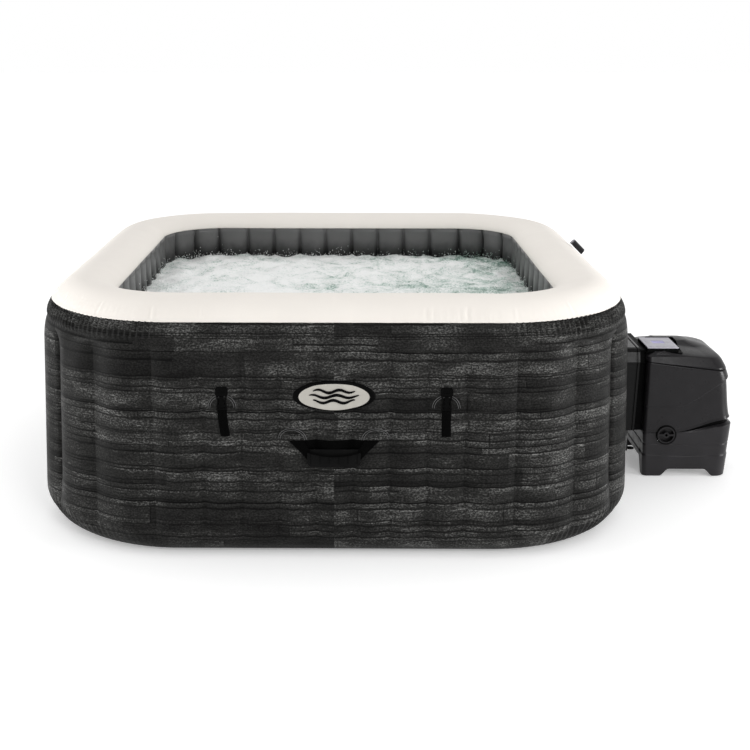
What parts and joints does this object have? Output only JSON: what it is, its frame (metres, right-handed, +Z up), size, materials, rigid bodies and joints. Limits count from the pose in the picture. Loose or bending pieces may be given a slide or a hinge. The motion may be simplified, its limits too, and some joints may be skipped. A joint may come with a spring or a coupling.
{
  "type": "inflatable hot tub",
  "caption": "Square inflatable hot tub with printed walls, cream rim, badge, carry handles, cover buckles and a side pump and heater unit.",
  "frame": {"origin": "on the floor, under the middle of the square tub", "axes": "+Z up; +X from the tub towards the pump unit; -Y is the side with the badge"},
  "size_m": [2.155, 1.7836, 0.7116],
  "materials": {
    "printed_wall": "satin laminated vinyl printed with a charcoal plank pattern",
    "cream_vinyl": "satin vinyl",
    "grey_vinyl": "satin vinyl",
    "white_web": "fibre web",
    "badge_cream": "raised vinyl badge",
    "dark_patch": "welded vinyl patch",
    "webbing": "woven webbing",
    "black_plastic": "moulded",
    "gloss_black": "gloss moulded",
    "charcoal_plastic": "fine-textured moulded",
    "light_grey_plastic": "moulded",
    "grey_plastic": "moulded",
    "filter_paper": "pleated polyester",
    "rubber": "matte",
    "steel": "brushed",
    "motor_metal": "cast",
    "display": "glossy window",
    "circuit_board": "solder mask"
  },
  "bodies": {
    "root": {"outer_wall": "printed_wall", "top_rim": "cream_vinyl", "inner_wall": "grey_vinyl", "base_sheet": "grey_vinyl", "internal_beams": "white_web", "air_channel": "grey_vinyl", "badge": "badge_cream", "handle_patches": "dark_patch", "buckle_patches": "dark_patch", "buckle_webbing": "webbing", "air_valve_hood": "black_plastic", "wall_fittings": "black_plastic", "return_nozzle": "grey_plastic", "filter_housing": "grey_plastic", "filter_cartridge": "filter_paper", "coupling_seals": "rubber", "unit_base": "charcoal_plastic", "unit_shell": "charcoal_plastic", "unit_top_cover": "charcoal_plastic", "unit_cowl": "gloss_black", "rubber_feet": "rubber", "unit_screws": "steel", "drain_port": "black_plastic", "cable_gland": "black_plastic", "pump_housing": "black_plastic", "pump_motor": "motor_metal", "heater_tube": "steel", "blower_housing": "black_plastic", "control_board": "circuit_board", "unit_pipes": "black_plastic"},
    "front_handle": {"front_handle_straps": "webbing", "front_handle_grip": "black_plastic"},
    "back_handle": {"back_handle_straps": "webbing", "back_handle_grip": "black_plastic"},
    "buckle_front_left": {"buckle_front_left": "black_plastic"},
    "buckle_front_right": {"buckle_front_right": "black_plastic"},
    "buckle_right_front": {"buckle_right_front": "black_plastic"},
    "buckle_right_back": {"buckle_right_back": "black_plastic"},
    "buckle_back_right": {"buckle_back_right": "black_plastic"},
    "buckle_back_left": {"buckle_back_left": "black_plastic"},
    "buckle_left_back": {"buckle_left_back": "black_plastic"},
    "buckle_left_front": {"buckle_left_front": "black_plastic"},
    "air_valve_plug": {"air_valve_plug": "light_grey_plastic"},
    "filter_cap": {"filter_cap": "grey_plastic"},
    "water_in_nut": {"water_in_nut": "black_plastic"},
    "water_out_nut": {"water_out_nut": "black_plastic"},
    "air_nut": {"air_nut": "black_plastic"},
    "drain_cap": {"drain_cap": "black_plastic"},
    "control_panel": {"panel_body": "black_plastic", "panel_face": "light_grey_plastic", "panel_lcd": "display"},
    "key_power": {"key_power": "light_grey_plastic"},
    "key_heat": {"key_heat": "light_grey_plastic"},
    "key_filter": {"key_filter": "light_grey_plastic"},
    "key_bubbles": {"key_bubbles": "light_grey_plastic"},
    "key_up": {"key_up": "light_grey_plastic"},
    "key_down": {"key_down": "light_grey_plastic"},
    "pump_rotor": {"pump_rotor": "motor_metal"},
    "blower_fan": {"blower_fan": "light_grey_plastic"}
  },
  "joints": [
    {"name": "front_handle_swing", "type": "hinge", "parent": "root", "child": "front_handle", "pos_m": [0, -0.86682, 0.341], "axis": [-1, 0, 0], "range_deg": [0, 120]},
    {"name": "back_handle_swing", "type": "hinge", "parent": "root", "child": "back_handle", "pos_m": [0, 0.86682, 0.341], "axis": [1, 0, 0], "range_deg": [0, 120]},
    {"name": "buckle_front_left_flip", "type": "hinge", "parent": "root", "child": "buckle_front_left", "pos_m": [-0.298, -0.86522, 0.4253], "axis": [1, 0, 0], "range_deg": [0, 165]},
    {"name": "buckle_front_right_flip", "type": "hinge", "parent": "root", "child": "buckle_front_right", "pos_m": [0.298, -0.86522, 0.4253], "axis": [1, 0, 0], "range_deg": [0, 165]},
    {"name": "buckle_right_front_flip", "type": "hinge", "parent": "root", "child": "buckle_right_front", "pos_m": [0.86522, -0.298, 0.4253], "axis": [0, 1, 0], "range_deg": [0, 165]},
    {"name": "buckle_right_back_flip", "type": "hinge", "parent": "root", "child": "buckle_right_back", "pos_m": [0.86522, 0.298, 0.4253], "axis": [0, 1, 0], "range_deg": [0, 165]},
    {"name": "buckle_back_right_flip", "type": "hinge", "parent": "root", "child": "buckle_back_right", "pos_m": [0.298, 0.86522, 0.4253], "axis": [-1, 0, 0], "range_deg": [0, 165]},
    {"name": "buckle_back_left_flip", "type": "hinge", "parent": "root", "child": "buckle_back_left", "pos_m": [-0.298, 0.86522, 0.4253], "axis": [-1, 0, 0], "range_deg": [0, 165]},
    {"name": "buckle_left_back_flip", "type": "hinge", "parent": "root", "child": "buckle_left_back", "pos_m": [-0.86522, 0.298, 0.4253], "axis": [0, -1, 0], "range_deg": [0, 165]},
    {"name": "buckle_left_front_flip", "type": "hinge", "parent": "root", "child": "buckle_left_front", "pos_m": [-0.86522, -0.298, 0.4253], "axis": [0, -1, 0], "range_deg": [0, 165]},
    {"name": "air_valve_plug_turn", "type": "hinge", "parent": "root", "child": "air_valve_plug", "pos_m": [0.80687, 0.13, 0.69896], "axis": [-0.7099, 0, 0.7043], "range_deg": [0, 330]},
    {"name": "filter_cap_twist", "type": "hinge", "parent": "root", "child": "filter_cap", "pos_m": [0.555, -0.19, 0.2], "axis": [-1, 0, 0], "range_deg": [0, 45]},
    {"name": "water_in_nut_turn", "type": "hinge", "parent": "root", "child": "water_in_nut", "pos_m": [0.896, -0.19, 0.2], "axis": [1, 0, 0], "range_deg": [0, 330]},
    {"name": "water_out_nut_turn", "type": "hinge", "parent": "root", "child": "water_out_nut", "pos_m": [0.896, -0.01, 0.2], "axis": [1, 0, 0], "range_deg": [0, 330]},
    {"name": "air_nut_turn", "type": "hinge", "parent": "root", "child": "air_nut", "pos_m": [0.896, -0.1, 0.36], "axis": [1, 0, 0], "range_deg": [0, 330]},
    {"name": "drain_cap_turn", "type": "hinge", "parent": "root", "child": "drain_cap", "pos_m": [1.062, -0.25, 0.144], "axis": [0, -1, 0], "range_deg": [0, 330]},
    {"name": "panel_lift", "type": "slide", "parent": "root", "child": "control_panel", "axis": [0, 0, 1], "range_m": [0, 0.1]},
    {"name": "key_power_press", "type": "slide", "parent": "control_panel", "child": "key_power", "axis": [0, 0, -1], "range_m": [0, 0.0008], "stiffness_N_per_m": 800},
    {"name": "key_heat_press", "type": "slide", "parent": "control_panel", "child": "key_heat", "axis": [0, 0, -1], "range_m": [0, 0.0008], "stiffness_N_per_m": 800},
    {"name": "key_filter_press", "type": "slide", "parent": "control_panel", "child": "key_filter", "axis": [0, 0, -1], "range_m": [0, 0.0008], "stiffness_N_per_m": 800},
    {"name": "key_bubbles_press", "type": "slide", "parent": "control_panel", "child": "key_bubbles", "axis": [0, 0, -1], "range_m": [0, 0.0008], "stiffness_N_per_m": 800},
    {"name": "key_up_press", "type": "slide", "parent": "control_panel", "child": "key_up", "axis": [0, 0, -1], "range_m": [0, 0.0008], "stiffness_N_per_m": 800},
    {"name": "key_down_press", "type": "slide", "parent": "control_panel", "child": "key_down", "axis": [0, 0, -1], "range_m": [0, 0.0008], "stiffness_N_per_m": 800},
    {"name": "pump_spin", "type": "hinge", "parent": "root", "child": "pump_rotor", "pos_m": [1.11, -0.15, 0.11], "axis": [0, 1, 0], "continuous": true},
    {"name": "blower_spin", "type": "hinge", "parent": "root", "child": "blower_fan", "pos_m": [1.11, -0.11, 0.29], "axis": [0, 0, 1], "continuous": true}
  ]
}
